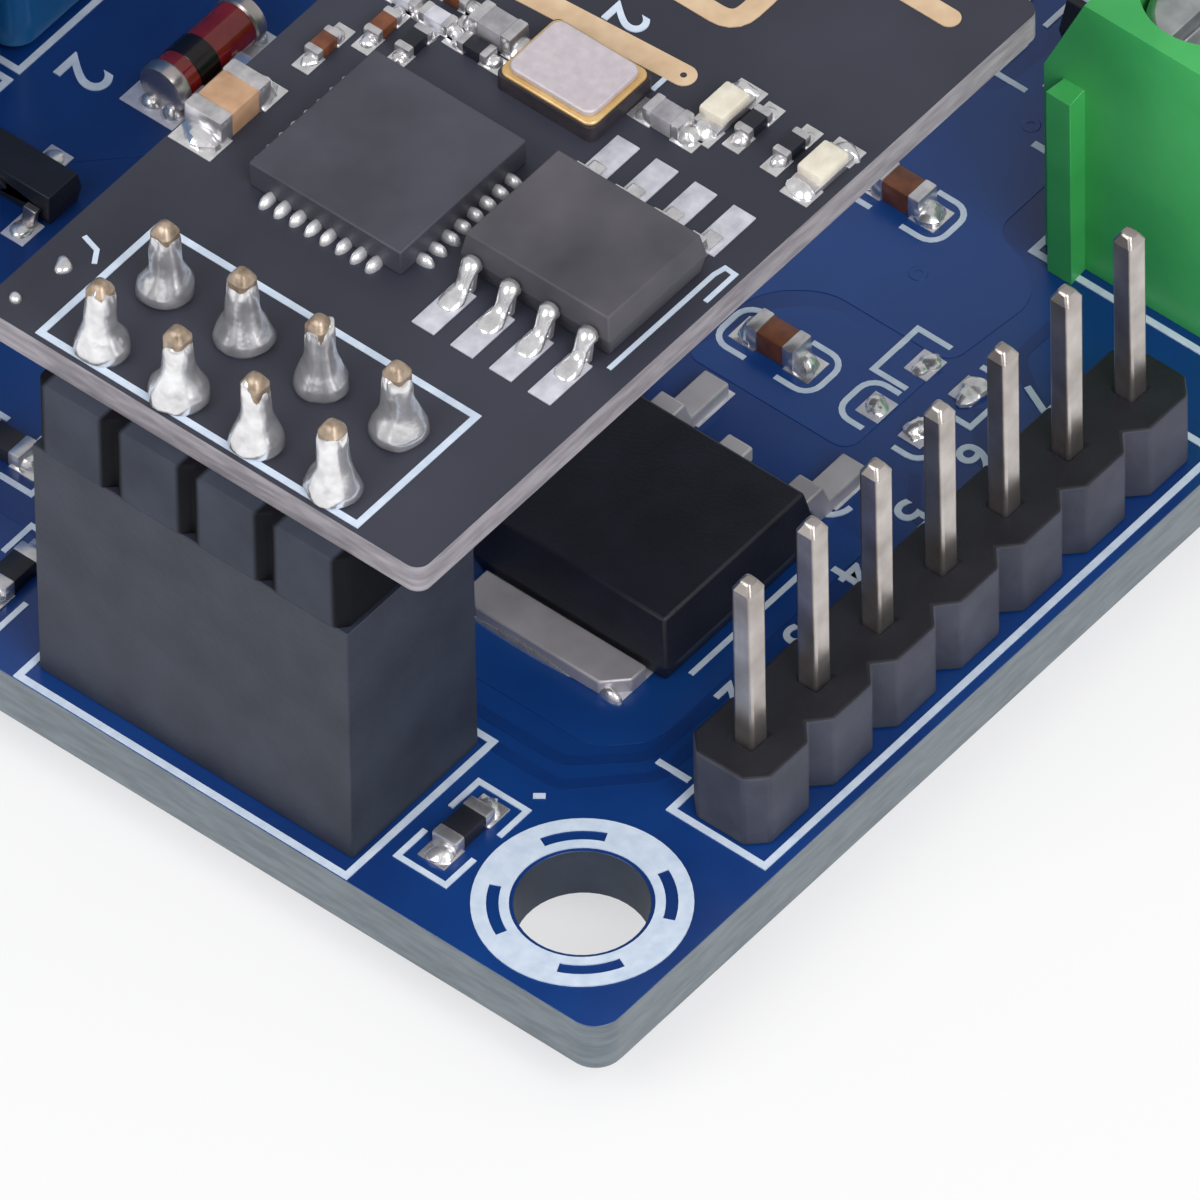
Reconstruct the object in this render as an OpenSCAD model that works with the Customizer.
// Two-channel relay board with a plug-in radio module.
// X runs along the board's short side and Y along its long side, with +Z up.
// The origin is the centre of the four mounting holes, on the board's underside.
// Places on the board are given as (u, v): the distances in X and Y from its near left corner.

/* [Circuit board] */
// Width of the circuit board, along X
board_w = 45; // [44:1:60]
// Length of the circuit board, along Y
board_l = 61; // [60:1:80]
// Thickness of the circuit board
board_t = 1.6; // [1.2:0.2:2.4]
// Rounding of the board's corners
corner_r = 0.8; // [0.2:0.1:2]
// Distance of a mounting hole's centre from the two nearest edges
hole_inset = 3.2; // [3:0.1:3.6]
// Diameter of the mounting holes
hole_d = 3.5; // [2.6:0.1:3.6]
// Length of every lead's end below the board
tail_l = 1.4; // [1:0.1:2]
// Clearance round a lead in its drilled hole
drill_gap = 0.15; // [0.05:0.05:0.2]

/* [Pin header] */
// Pitch of the pin header and of the module's pins
pin_pitch = 2.54; // [2.5:0.02:2.6]
// Width of a square pin
pin_w = 0.64; // [0.5:0.02:0.7]
// Number of pins in the header
header_n = 7; // [2:1:7]
// Place of the first pin, from the left edge
header_u = 8.5; // [8:0.1:9]
// Place of the row of pins, from the near edge
header_v = 2.0; // [1.6:0.1:2.6]
// Height of the header's plastic strip
strip_h = 2.54; // [2:0.02:3]
// Length of a pin above the strip
pin_l = 6.0; // [4:0.1:8]

/* [Module and socket] */
// Height of the socket's housing
socket_h = 8.5; // [7:0.1:9]
// Width of the socket's housing, along X
socket_w = 5.0; // [4.8:0.1:5.6]
// Place of the socket's centre, from the left edge
socket_u = 3.18; // [3.1:0.02:3.6]
// Place of the socket's centre, from the near edge
socket_v = 13.85; // [13.6:0.05:15]
// Length of the module's board, along X
module_l = 24.75; // [24:0.25:26]
// Width of the module's board, along Y
module_w = 14.5; // [14:0.1:15]
// Thickness of the module's board
module_t = 0.9; // [0.6:0.1:1.2]
// Distance from the module's short edge to the centre of its pins
module_pin_edge = 2.04; // [1.8:0.02:2.4]
// Height of the module's pins above its board
module_pin_top = 2.6; // [1.5:0.1:3]
// Depth to which the module's pins reach into the socket
plug_depth = 6.0; // [4:0.1:6.4]

/* [Screw terminals] */
// Pitch of the terminal poles
term_pitch = 5.08; // [5:0.04:5.4]
// Depth of a terminal housing, along the wire
term_d = 7.8; // [7.7:0.1:8.4]
// Height of a terminal housing
term_h = 10; // [9.8:0.1:12]
// Height at which the rear face starts to slope
slope_z = 6.9; // [6:0.1:7.2]
// How far the top is set back by the rear slope
slope_run = 1.35; // [0.8:0.05:1.5]
// Gap between a terminal's front face and the board's edge
term_edge = 0.5; // [0.2:0.1:1]
// Gap between the header's strip and the power terminal
power_gap = 3; // [2.6:0.1:3.2]
// Thread diameter of a clamp screw
screw_d = 2.5; // [2:0.1:2.6]
// Diameter of a clamp screw's head
head_d = 3.6; // [3.4:0.1:3.7]
// Distance of a clamp screw's axis behind the front face
screw_y = 4.2; // [4.1:0.1:4.4]
// Rise of the clamp from fully open to fully closed
clamp_rise = 1.8; // [1:0.1:2.1]
// Height of the wire entry
entry_h = 2.9; // [2.5:0.1:3]
// Width of the wire entry
entry_w = 3.0; // [2.6:0.1:3.4]

/* [Relays] */
// Width of a relay's case, along X
relay_w = 15.4; // [15:0.1:15.6]
// Length of a relay's case, along Y
relay_l = 19.2; // [18.8:0.1:19.4]
// Height of a relay's case
relay_h = 15.2; // [14:0.1:16]
// Gap between the left relay and the board's left edge
relay_edge = 0.15; // [0.1:0.05:0.4]
// Gap between the two relays
relay_gap = 0.75; // [0.5:0.05:1]
// Gap between the relays and the output terminals
relay_rear_gap = 0.65; // [0.4:0.05:1]

/* [Surface parts] */
// Width of the regulator's body, along Y
regulator_w = 6.6; // [6:0.1:6.8]
// Length of the regulator's body, along X
regulator_l = 6.1; // [5.8:0.1:6.4]
// Height of the regulator's body
regulator_h = 2.3; // [2:0.1:2.6]
// Width of the processor's square body
mcu_w = 5; // [4.6:0.1:5.2]
// Length of the memory chip's body, along Y
flash_l = 4.9; // [4.7:0.1:5.1]
// Width of the memory chip's body, along X
flash_w = 3.9; // [3.7:0.1:4.1]

/* [Hidden] */
$fn = 40;

// A cut reaches this far past the faces that it opens.
cut = 0.1;

// Levels above the board's top face
spacer_z = socket_h;
module_z = spacer_z + strip_h;
module_top = module_z + module_t;

// The module, whose pins stand in the socket
module_u = socket_u - module_pin_edge;
module_v = socket_v - module_w / 2;
socket_l = 4 * pin_pitch + 0.2;
module_pins = [for (i = [0 : 1], j = [0 : 3])
  [socket_u + (i - 0.5) * pin_pitch, socket_v + (j - 1.5) * pin_pitch]];
header_slots = 7;
header_points = [for (i = [0 : header_n - 1]) [header_u + i * pin_pitch, header_v]];
socket_tail_w = 0.5;
contact_blade_t = 0.2;
contact_blade_gap = 0.02;

// The terminals: pole centres and the inner parts' levels
bar_t = 0.7;
bar_w = 2.4;
bar_front = 1.5;
clamp_wall = 0.6;
clamp_top_t = 0.8;
clamp_slack = 0.1;
screw_play = 0.05;
clamp_w = 4.0;
clamp_l = 3.4;
clamp_rest_z = 0.4;
entry_z = clamp_rest_z + clamp_wall;
bar_z = entry_z + entry_h;
bar_top = bar_z + bar_t;
clamp_window_h = entry_h + bar_t + 0.15;
clamp_h = clamp_wall + clamp_window_h + clamp_top_t;
chamber_top = clamp_rest_z + clamp_h + clamp_rise + 0.15;
shoulder_t = 0.6;
shoulder_z = chamber_top + shoulder_t;
head_h = 1.0;
well_d = head_d + 0.3;
leg_y = screw_y + clamp_l / 2 + 0.3;
leg_pin_w = 1.0;
rib_d = 0.65;
rib_root = 0.65;
rib_tip = 0.8;
rib_y = term_d - 1.4;
rib_gap = 0.1;

power_w = 2 * term_pitch;
output_w = 3 * term_pitch;
power_u = header_u + (header_slots - 0.5) * pin_pitch + power_gap + power_w / 2;
output_u = [board_w / 2 - output_w / 2 - rib_gap, board_w / 2 + output_w / 2 + rib_gap];
output_v = board_l - term_edge;
power_pins = [for (i = [0 : 1]) [power_u + (i - 0.5) * term_pitch, term_edge + leg_y + bar_t / 2]];
output_pins = [for (u = output_u, i = [0 : 2])
  [u + (i - 1) * term_pitch, output_v - leg_y - bar_t / 2]];
contact_drill = norm([leg_pin_w, bar_t]) + 2 * drill_gap;

// The relays: centres, and each lead's place from the case's centre as [x, y, width, depth]
relay_u = [relay_edge + relay_w / 2, relay_edge + relay_w + relay_gap + relay_w / 2];
relay_v = board_l - term_edge - term_d - relay_rear_gap - relay_l / 2;
relay_near = relay_v - relay_l / 2;
relay_leads = [[0, -7.2, 1.0, 0.4], [-6, -5.2, 0.6, 0.6], [6, -5.2, 0.6, 0.6],
  [-6, 7.0, 1.0, 0.4], [6, 7.0, 1.0, 0.4]];
relay_drill = norm([1.0, 0.4]) + 2 * drill_gap;
relay_foot = 0.3;
relay_r = 0.7;

// Surface parts: [u, v] of each centre
regulator_at = [13.15, 9.4];
tab_w = 5.3;
tab_l = 1.2;
tab_t = 0.5;
lead_w = 0.8;
lead_pitch = 2.28;
mcu_at = [module_u + 0.402 * module_l, module_v + 0.641 * module_w];
mcu_h = 0.85;
flash_at = [module_u + 0.424 * module_l, module_v + 0.228 * module_w];
flash_h = 1.4;
crystal_at = [module_u + 0.614 * module_l, module_v + 0.517 * module_w];
chip_l = 1.6;
chip_w = 0.8;
chip_h = 0.8;
resistor_h = 0.5;
channel_at = [for (u = relay_u) [u, relay_near]];
transistor_at = [5.25, -2.85];
diode_at = [-4.9, -3.9];
channel_cap_at = [-5.4, -5.35];
channel_resistor_at = [5.25, -6.2];
input_capacitor_at = [26.95, 12.1];
output_capacitor_at = [20.9, 11.3];
socket_rear = socket_v + socket_l / 2;
rear_room = relay_near - socket_rear;
flat_resistors = [[3.15, 7.05], [2.65, socket_rear + 0.18 * rear_room], [33.4, 14.4]];
upright_resistor = [5.9, socket_rear + 0.4 * rear_room];
input_diode_at = [power_u + 2.4, term_edge + term_d + 2.6];
header_drill = norm([pin_w, pin_w]) + 2 * drill_gap;
socket_drill = norm([socket_tail_w, socket_tail_w]) + 2 * drill_gap;

// ---- Helpers ----

// Puts a piece on the board's top face, at (u, v)
module at(p, z = 0) {
  translate([p[0] - board_w / 2, p[1] - board_l / 2, board_t + z]) children();
}

// A block standing on z = 0, centred in X and Y
module block(size, z = 0) {
  translate([-size[0] / 2, -size[1] / 2, z]) cube(size);
}

// A flat outline with round corners, centred on the origin
module round_rect(w, l, r) {
  square([w - 2 * r, l], center = true);
  square([w, l - 2 * r], center = true);
  for (x = [-1, 1], y = [-1, 1])
    translate([x * (w / 2 - r), y * (l / 2 - r)]) circle(r);
}

// Turns a flat outline of (y, z) points into a bar of width w along X, centred on the origin
module along_x(w) {
  translate([-w / 2, 0, 0]) rotate([90, 0, 90]) linear_extrude(w) children();
}

// Turns a flat outline of (x, z) points into a bar of depth d along Y, centred on the origin
module along_y(d) {
  translate([0, d / 2, 0]) rotate([90, 0, 0]) linear_extrude(d) children();
}

// A square pin from z0 to z1, with both ends tapered
module square_pin(w, z0, z1) {
  taper = w / 2;
  outline = [[-w / 4, z0], [w / 4, z0], [w / 2, z0 + taper], [w / 2, z1 - taper],
    [w / 4, z1], [-w / 4, z1], [-w / 2, z1 - taper], [-w / 2, z0 + taper]];
  intersection() {
    along_x(w) polygon(outline);
    along_y(w) polygon(outline);
  }
}

// One strip segment's outline: a rectangle with its four corners cut off
module segment(w, l, corner) {
  polygon([[-w / 2 + corner, -l / 2], [w / 2 - corner, -l / 2], [w / 2, -l / 2 + corner],
    [w / 2, l / 2 - corner], [w / 2 - corner, l / 2], [-w / 2 + corner, l / 2],
    [-w / 2, l / 2 - corner], [-w / 2, -l / 2 + corner]]);
}

// A solder cone round a lead of size w by d, standing on z = 0
module solder_cone(w, d, r, tip, h) {
  difference() {
    cylinder(r1 = r, r2 = tip, h = h);
    block([w, d, h + 2 * cut], -cut);
  }
}

// A bent lead: a flat strip of thickness t that leaves a body at height top and ends on z = 0.
// It starts at x = 0 and its foot ends at x = reach.
module gull_lead(w, t, top, reach, foot) {
  bend = (reach - foot) / 2;
  along_y(w) polygon([[0, top - t], [bend - t / 2, top - t], [bend, 0], [reach, 0], [reach, t],
    [bend + t, t], [bend + t / 2, top], [0, top]]);
}

// A small two-ended chip part along X, with caps that stand a little proud of its body
module chip(l, w, h) {
  cap = 0.22 * l;
  proud = 0.03;
  block([l - 2 * cap + proud, w - 2 * proud, h - 2 * proud], proud);
  for (s = [-1, 1]) translate([s * (l - cap) / 2, 0, 0]) block([cap, w, h]);
}

// ---- Circuit board ----

module circuit_board() {
  color("midnightblue") difference() {
    linear_extrude(board_t) round_rect(board_w, board_l, corner_r);
    for (x = [-1, 1], y = [-1, 1])
      translate([x * (board_w / 2 - hole_inset), y * (board_l / 2 - hole_inset), -cut])
        cylinder(d = hole_d, h = board_t + 2 * cut);
    drill(header_points, header_drill);
    drill(module_pins, socket_drill);
    drill(power_pins, contact_drill);
    drill(output_pins, contact_drill);
    for (u = relay_u) drill([for (p = relay_leads) [u + p[0], relay_v + p[1]]], relay_drill);
  }
}

module drill(points, d) {
  for (p = points) at(p, -board_t - cut) cylinder(d = d, h = board_t + 2 * cut, $fn = 24);
}

// Solder under the board, round the end of every lead
module bottom_solder() {
  color("silver") {
    solder_group(header_points, pin_w, pin_w, header_drill);
    solder_group(module_pins, socket_tail_w, socket_tail_w, socket_drill);
    solder_group(power_pins, leg_pin_w, bar_t, contact_drill);
    solder_group(output_pins, leg_pin_w, bar_t, contact_drill);
    for (u = relay_u, p = relay_leads)
      solder_group([[u + p[0], relay_v + p[1]]], p[2], p[3], relay_drill);
  }
}

module solder_group(points, w, d, drill_d) {
  for (p = points) at(p, -board_t) mirror([0, 0, 1])
    solder_cone(w, d, drill_d / 2 + 0.35, norm([w, d]) / 2 + 0.1, tail_l - 0.4, $fn = 20);
}

// ---- Pin header ----

module header_strip() {
  color([0.12, 0.12, 0.13]) difference() {
    for (p = header_points) at(p) linear_extrude(strip_h) segment(pin_pitch, pin_pitch, 0.5);
    for (p = header_points) at(p) block([pin_w, pin_w, strip_h + 2 * cut], -cut);
  }
}

module header_pins() {
  color("silver") for (p = header_points) at(p)
    square_pin(pin_w, -board_t - tail_l, strip_h + pin_l);
}

// ---- Socket ----

module module_socket() {
  throat = 0.7;
  throat_w = pin_w + 0.2;
  floor_t = 0.6;
  color([0.14, 0.14, 0.15]) difference() {
    at([socket_u, socket_v]) block([socket_w, socket_l, socket_h]);
    for (p = module_pins) at(p) {
      block([1.0, 1.24, socket_h - throat - floor_t], floor_t);
      block([throat_w, throat_w, throat + 2 * cut], socket_h - throat - cut);
      block([socket_tail_w, socket_tail_w, floor_t + 2 * cut], -cut);
    }
  }
}

module socket_contacts() {
  base_z = 0.6;
  base_t = 0.3;
  blade_top = socket_h - 1.2;
  blade_y = pin_w / 2 + contact_blade_gap + contact_blade_t / 2;
  color("silver") for (p = module_pins) at(p) {
    block([socket_tail_w, socket_tail_w, board_t + tail_l + base_z + base_t], -board_t - tail_l);
    block([0.8, 2 * blade_y + contact_blade_t, base_t], base_z);
    for (s = [-1, 1]) translate([0, s * blade_y, 0])
      block([0.8, contact_blade_t, blade_top - base_z], base_z);
  }
}

// ---- Radio module ----

module radio_board() {
  color([0.17, 0.17, 0.19]) difference() {
    at([module_u + module_l / 2, socket_v], module_z)
      linear_extrude(module_t) round_rect(module_l, module_w, 0.4);
    for (p = module_pins) at(p, module_z - cut)
      cylinder(d = norm([pin_w, pin_w]) + 0.1, h = module_t + 2 * cut);
  }
}

module radio_pin_spacer() {
  color([0.12, 0.12, 0.13]) difference() {
    for (j = [0 : 3]) at([socket_u, socket_v + (j - 1.5) * pin_pitch], spacer_z)
      linear_extrude(strip_h) segment(2 * pin_pitch, pin_pitch, 0.3);
    for (p = module_pins) at(p, spacer_z) block([pin_w, pin_w, strip_h + 2 * cut], -cut);
  }
}

module radio_pins() {
  color("silver") for (p = module_pins) at(p)
    square_pin(pin_w, socket_h - plug_depth, module_top + module_pin_top);
}

module radio_pin_solder() {
  color("silver") for (p = module_pins) at(p, module_top)
    solder_cone(pin_w, pin_w, 0.95, pin_w * 0.72, module_pin_top * 0.62);
}

// A flat chip body whose sides slope in above and below its waist
module chip_body(w, l, h, waist, draft) {
  intersection() {
    along_y(l) polygon([[-w / 2 + draft, 0], [w / 2 - draft, 0], [w / 2, waist],
      [w / 2 - draft, h], [-w / 2 + draft, h], [-w / 2, waist]]);
    along_x(w) polygon([[-l / 2 + draft, 0], [l / 2 - draft, 0], [l / 2, waist],
      [l / 2 - draft, h], [-l / 2 + draft, h], [-l / 2, waist]]);
  }
}

module radio_processor() {
  color([0.2, 0.2, 0.21]) at(mcu_at, module_top) block([mcu_w, mcu_w, mcu_h]);
}

module radio_processor_joints() {
  joint = [0.35, 0.27, 0.35];
  color("silver") at(mcu_at, module_top)
    for (a = [0 : 90 : 270], i = [0 : 7]) rotate([0, 0, a])
      translate([mcu_w / 2 + joint[0] / 2, (i - 3.5) * 0.5, 0]) block(joint);
}

module radio_memory() {
  color([0.15, 0.15, 0.16]) at(flash_at, module_top)
    chip_body(flash_w, flash_l, flash_h, 0.65, 0.12);
}

module radio_memory_legs() {
  color("silver") at(flash_at, module_top)
    for (s = [0, 1], i = [0 : 3]) mirror([s, 0, 0])
      translate([flash_w / 2, (i - 1.5) * 1.27, 0]) gull_lead(0.45, 0.2, 0.75, 1.05, 0.5);
}

module radio_crystal() {
  color("silver") at(crystal_at, module_top) {
    block([2.5, 3.2, 0.55]);
    block([2.2, 2.9, 0.25], 0.55);
  }
}

module radio_lamps() {
  color("ivory") for (v = [0.272, 0.050])
    at([module_u + 0.682 * module_l, module_v + v * module_w], module_top)
      chip(chip_l, chip_w, 0.55);
}

// The larger capacitors on the module: [share of its length, share of its width, turn, size]
module radio_capacitors() {
  parts = [[0.362, 0.948, 0, [2.0, 1.25, 0.9]], [0.618, 0.695, 90, [1.4, 0.8, 0.7]],
    [0.633, 0.331, 90, [1.2, 0.7, 0.6]]];
  color([0.7, 0.58, 0.46]) for (p = parts)
    at([module_u + p[0] * module_l, module_v + p[1] * module_w], module_top)
      rotate([0, 0, p[2]]) chip(p[3][0], p[3][1], p[3][2]);
}

// The small chip parts on the module: [share of its length, share of its width, turn]
module radio_small_parts() {
  places = [[0.552, 0.865, 0], [0.554, 0.798, 0], [0.594, 0.799, 90], [0.587, 0.701, 90],
    [0.685, 0.211, 0], [0.685, 0.125, 0], [0.596, 0.876, 90], [0.631, 0.810, 90],
    [0.493, 0.917, 0]];
  color([0.55, 0.5, 0.45]) for (p = places)
    at([module_u + p[0] * module_l, module_v + p[1] * module_w], module_top)
      rotate([0, 0, p[2]]) chip(1.0, 0.5, 0.4);
}

// ---- Regulator ----

module regulator_body() {
  color([0.13, 0.13, 0.14]) at(regulator_at)
    chip_body(regulator_l, regulator_w, regulator_h, 0.8, 0.25);
}

module regulator_leadframe() {
  shoulder = 1.2;
  color("silver") at(regulator_at) {
    translate([-regulator_l / 2 - tab_l, 0, 0]) tab_plate();
    for (i = [-1, 1]) translate([regulator_l / 2, i * lead_pitch, 0])
      gull_lead(lead_w, 0.5, shoulder, 2.7, 1.3);
    translate([regulator_l / 2, -lead_w / 2, shoulder - 0.5]) cube([0.9, lead_w, 0.5]);
  }
}

// The tab's plate, with its two outer corners cut off. It ends at the moulded body.
module tab_plate() {
  corner = 0.6;
  linear_extrude(tab_t) polygon([[0, -tab_w / 2 + corner], [corner, -tab_w / 2], [tab_l, -tab_w / 2],
    [tab_l, tab_w / 2], [corner, tab_w / 2], [0, tab_w / 2 - corner]]);
}

// ---- Relays ----

module relay(i) {
  foot_w = 1.6;
  vent_r = 0.7;
  color([0.1, 0.35, 0.55]) at([relay_u[i], relay_v]) difference() {
    union() {
      translate([0, 0, relay_foot]) intersection() {
        linear_extrude(relay_h) round_rect(relay_w, relay_l, relay_r);
        along_y(relay_l) relay_face(relay_w);
        along_x(relay_w) relay_face(relay_l);
      }
      for (x = [-1, 1], y = [-1, 1])
        translate([x * (relay_w / 2 - foot_w), y * (relay_l / 2 - foot_w), 0])
          block([foot_w, foot_w, relay_foot + cut]);
    }
    translate([relay_w / 2 - 2.4, 2.4 - relay_l / 2, relay_foot + relay_h - 0.3])
      cylinder(r = vent_r, h = 0.3 + cut);
    for (p = relay_leads) translate([p[0], p[1], 0])
      block([p[2], p[3], relay_foot + 0.5 + cut], -cut);
  }
}

// A relay's end view: a rectangle whose two top corners are round
module relay_face(w) {
  translate([0, relay_h / 2]) square([w - 2 * relay_r, relay_h], center = true);
  translate([-w / 2, 0]) square([w, relay_h - relay_r]);
  for (s = [-1, 1]) translate([s * (w / 2 - relay_r), relay_h - relay_r]) circle(relay_r);
}

module relay_pins(i) {
  color("silver") at([relay_u[i], relay_v]) for (p = relay_leads) translate([p[0], p[1], 0])
    block([p[2], p[3], board_t + tail_l + relay_foot + 0.5], -board_t - tail_l);
}

// ---- Parts of one relay channel ----

module transistor(i) {
  color([0.12, 0.12, 0.13]) at(channel_at[i] + transistor_at) {
    chip_body(1.3, 2.9, 1.0, 0.5, 0.08);
    translate([0.65, 0, 0]) gull_lead(0.42, 0.14, 0.55, 0.6, 0.3);
    for (s = [-1, 1]) translate([-0.65, s * 0.95, 0]) mirror([1, 0, 0])
      gull_lead(0.42, 0.14, 0.55, 0.6, 0.3);
  }
}

module glass_diode(i) {
  body_d = 1.4;
  cap_d = 1.5;
  color([0.45, 0.08, 0.06]) at(channel_at[i] + diode_at, cap_d / 2) rotate([0, 90, 0]) {
    cylinder(d = body_d, h = 2.6, center = true);
    for (s = [-1, 1]) translate([0, 0, s * 1.525]) cylinder(d = cap_d, h = 0.45, center = true);
  }
}

module channel_capacitors() {
  color([0.75, 0.6, 0.45]) for (p = channel_at) at(p + channel_cap_at) chip(2.0, 1.25, 1.0);
}

module input_capacitor() {
  color([0.45, 0.3, 0.2]) at(input_capacitor_at) rotate([0, 0, 90]) chip(chip_l, chip_w, chip_h);
}

module output_capacitor() {
  color([0.45, 0.3, 0.2]) at(output_capacitor_at) rotate([0, 0, 90]) chip(chip_l, chip_w, chip_h);
}

module chip_resistors() {
  color([0.1, 0.1, 0.1]) {
    for (p = flat_resistors) at(p) chip(chip_l, chip_w, resistor_h);
    for (p = channel_at) at(p + channel_resistor_at) chip(chip_l, chip_w, resistor_h);
    at(upright_resistor) rotate([0, 0, 90]) chip(chip_l, chip_w, resistor_h);
  }
}

// Flat power diode behind the power terminal
module input_diode() {
  body_l = 4.3;
  color([0.13, 0.13, 0.14]) at(input_diode_at) {
    chip_body(body_l, 2.6, 2.1, 1.0, 0.15);
    for (s = [0, 1]) mirror([s, 0, 0]) translate([body_l / 2, 0, 0])
      gull_lead(1.4, 0.2, 1.1, 0.45, 0.1);
  }
}

// ---- Screw terminals ----
// Each is drawn with its front face on y = 0, its width centred on x = 0 and its rear towards +Y.

function pole_x(poles, i) = (i - (poles - 1) / 2) * term_pitch;

// The housing's side view, as (y, z)
module housing_profile() {
  polygon([[0, 0], [term_d, 0], [term_d, slope_z], [term_d - slope_run, term_h],
    [0.5, term_h], [0, term_h - 0.5]]);
}

// The dovetail that joins two housings side by side, as (x, y) outside the face x = 0
module dovetail(grow) {
  polygon([[cut, -rib_root / 2 - grow], [-rib_d - grow, -rib_tip / 2 - grow],
    [-rib_d - grow, rib_tip / 2 + grow], [cut, rib_root / 2 + grow]]);
}

module housing(poles) {
  w = poles * term_pitch;
  color([0.16, 0.56, 0.26]) difference() {
    union() {
      along_x(w) housing_profile();
      translate([-w / 2, rib_y + rib_tip / 2, 0]) linear_extrude(slope_z - 0.1) dovetail(0);
    }
    translate([w / 2, rib_y + rib_tip / 2, -cut]) linear_extrude(slope_z + cut) dovetail(rib_gap);
    for (i = [0 : poles - 1]) translate([pole_x(poles, i), 0, 0]) pole_hollow();
    for (i = [0 : 1 : poles - 2]) translate([pole_x(poles, i) + term_pitch / 2, 0, 0]) pole_groove();
  }
}

// A shallow groove down the front between two poles
module pole_groove() {
  depth = 0.3;
  translate([0, 0, -cut]) linear_extrude(term_h + 2 * cut)
    polygon([[-depth, -cut], [depth, -cut], [0, depth]]);
}

// Everything that is hollow in one pole: wire entry, clamp chamber, contact slot and screw well
module pole_hollow() {
  flare = 0.45;
  chamber_y = screw_y - clamp_l / 2 - clamp_slack;
  chamber_l = clamp_l + 2 * clamp_slack;
  slack = 0.05;
  translate([0, chamber_y / 2, entry_z]) block([entry_w, chamber_y + 2 * cut, entry_h]);
  intersection() {
    along_x(entry_w + 2 * flare) polygon([[-cut, entry_z - flare], [0, entry_z - flare],
      [flare, entry_z], [flare, entry_z + entry_h], [0, entry_z + entry_h + flare],
      [-cut, entry_z + entry_h + flare]]);
    linear_extrude(term_h) polygon([[-entry_w / 2 - flare, -cut], [entry_w / 2 + flare, -cut],
      [entry_w / 2 + flare, 0], [entry_w / 2, flare], [-entry_w / 2, flare],
      [-entry_w / 2 - flare, 0]]);
  }
  translate([0, chamber_y + chamber_l / 2, 0])
    block([clamp_w + 2 * clamp_slack, chamber_l, chamber_top + cut], -cut);
  translate([-bar_w / 2 - slack, screw_y, -cut])
    cube([bar_w + 2 * slack, leg_y + bar_t + slack - screw_y, bar_top + slack + cut]);
  translate([-bar_w / 2 - slack, bar_front - slack, bar_z - cut])
    cube([bar_w + 2 * slack, screw_y - bar_front, bar_t + slack + cut]);
  translate([0, screw_y, chamber_top - cut]) cylinder(d = screw_d + 2 * screw_play, h = term_h);
  translate([0, screw_y, shoulder_z]) cylinder(d = well_d, h = term_h);
}

// One pole's fixed contact: a bar over the wire, bent down at the rear into the soldered pin
module contact() {
  translate([-bar_w / 2, bar_front, bar_z]) cube([bar_w, leg_y + bar_t - bar_front, bar_t]);
  translate([-bar_w / 2, leg_y, 0.05]) cube([bar_w, bar_t, bar_z]);
  translate([-leg_pin_w / 2, leg_y, -board_t - tail_l])
    cube([leg_pin_w, bar_t, board_t + tail_l + 0.1]);
}

// One pole's clamp: a frame round the bar, with the threaded hole in its top
module clamp() {
  translate([0, screw_y, clamp_rest_z]) difference() {
    block([clamp_w, clamp_l, clamp_h]);
    block([clamp_w - 2 * clamp_wall, clamp_l + 2 * cut, clamp_window_h], clamp_wall);
    translate([0, 0, clamp_h - clamp_top_t - cut])
      cylinder(d = screw_d + 2 * screw_play, h = clamp_top_t + 2 * cut);
  }
}

// One pole's screw: its tip stands on the bar and its head on the housing's shoulder
module screw() {
  gap = 0.02;
  slot_w = 0.7;
  slot_depth = 0.6;
  translate([0, screw_y, 0]) difference() {
    union() {
      translate([0, 0, bar_top + gap]) cylinder(d = screw_d, h = shoulder_z - bar_top);
      translate([0, 0, shoulder_z + gap]) cylinder(d = head_d, h = head_h - 0.2);
      translate([0, 0, shoulder_z + gap + head_h - 0.2])
        cylinder(d1 = head_d, d2 = head_d - 0.4, h = 0.2);
    }
    block([head_d + 2 * cut, slot_w, slot_depth + cut], shoulder_z + gap + head_h - slot_depth);
  }
}

// Puts a terminal's pieces in place: terminal 0 is the power input, 1 and 2 are the outputs
module terminal_place(t) {
  if (t == 0) at([power_u, term_edge]) children();
  if (t > 0) at([output_u[t - 1], output_v]) rotate([0, 0, 180]) children();
}

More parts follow.
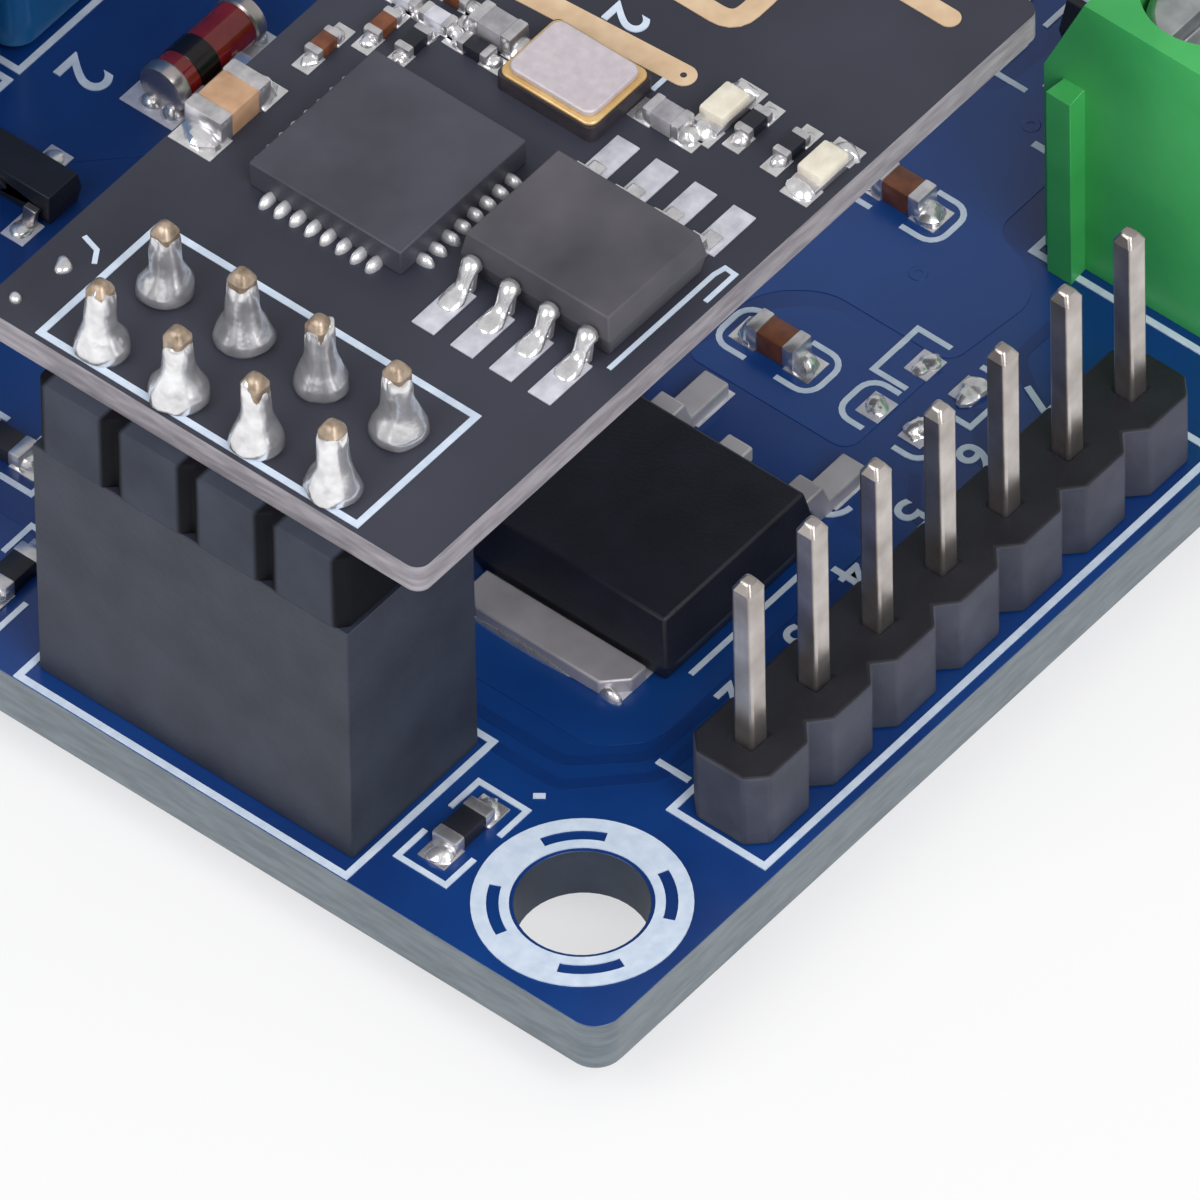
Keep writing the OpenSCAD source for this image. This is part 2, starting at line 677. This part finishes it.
module contacts(t, poles) {
  color("silver") terminal_place(t)
    for (i = [0 : poles - 1]) translate([pole_x(poles, i), 0, 0]) contact();
}

module clamp_of(t, poles, i) {
  color("gold") terminal_place(t) translate([pole_x(poles, i - 1), 0, 0]) clamp();
}

module screw_of(t, poles, i) {
  color("lightgray") terminal_place(t) translate([pole_x(poles, i - 1), 0, 0]) screw();
}

module housing_of(t, poles) {
  terminal_place(t) housing(poles);
}

circuit_board();
header_strip();
header_pins();
module_socket();
socket_contacts();
radio_board();
radio_pin_spacer();
radio_pins();
radio_pin_solder();
radio_processor();
radio_processor_joints();
radio_memory();
radio_memory_legs();
radio_crystal();
radio_lamps();
radio_capacitors();
radio_small_parts();
regulator_body();
regulator_leadframe();
relay(0);  // relay_1
relay_pins(0);  // relay_1_pins
relay(1);  // relay_2
relay_pins(1);  // relay_2_pins
transistor(0);  // transistor_1
transistor(1);  // transistor_2
glass_diode(0);  // diode_1
glass_diode(1);  // diode_2
channel_capacitors();
input_capacitor();
output_capacitor();
chip_resistors();
input_diode();
bottom_solder();
housing_of(0, 2);  // power_housing
contacts(0, 2);  // power_contacts
screw_of(0, 2, 1);  // power_screw_1
screw_of(0, 2, 2);  // power_screw_2
clamp_of(0, 2, 1);  // power_clamp_1
clamp_of(0, 2, 2);  // power_clamp_2
housing_of(1, 3);  // output_1_housing
contacts(1, 3);  // output_1_contacts
screw_of(1, 3, 1);  // output_1_screw_1
screw_of(1, 3, 2);  // output_1_screw_2
screw_of(1, 3, 3);  // output_1_screw_3
clamp_of(1, 3, 1);  // output_1_clamp_1
clamp_of(1, 3, 2);  // output_1_clamp_2
clamp_of(1, 3, 3);  // output_1_clamp_3
housing_of(2, 3);  // output_2_housing
contacts(2, 3);  // output_2_contacts
screw_of(2, 3, 1);  // output_2_screw_1
screw_of(2, 3, 2);  // output_2_screw_2
screw_of(2, 3, 3);  // output_2_screw_3
clamp_of(2, 3, 1);  // output_2_clamp_1
clamp_of(2, 3, 2);  // output_2_clamp_2
clamp_of(2, 3, 3);  // output_2_clamp_3
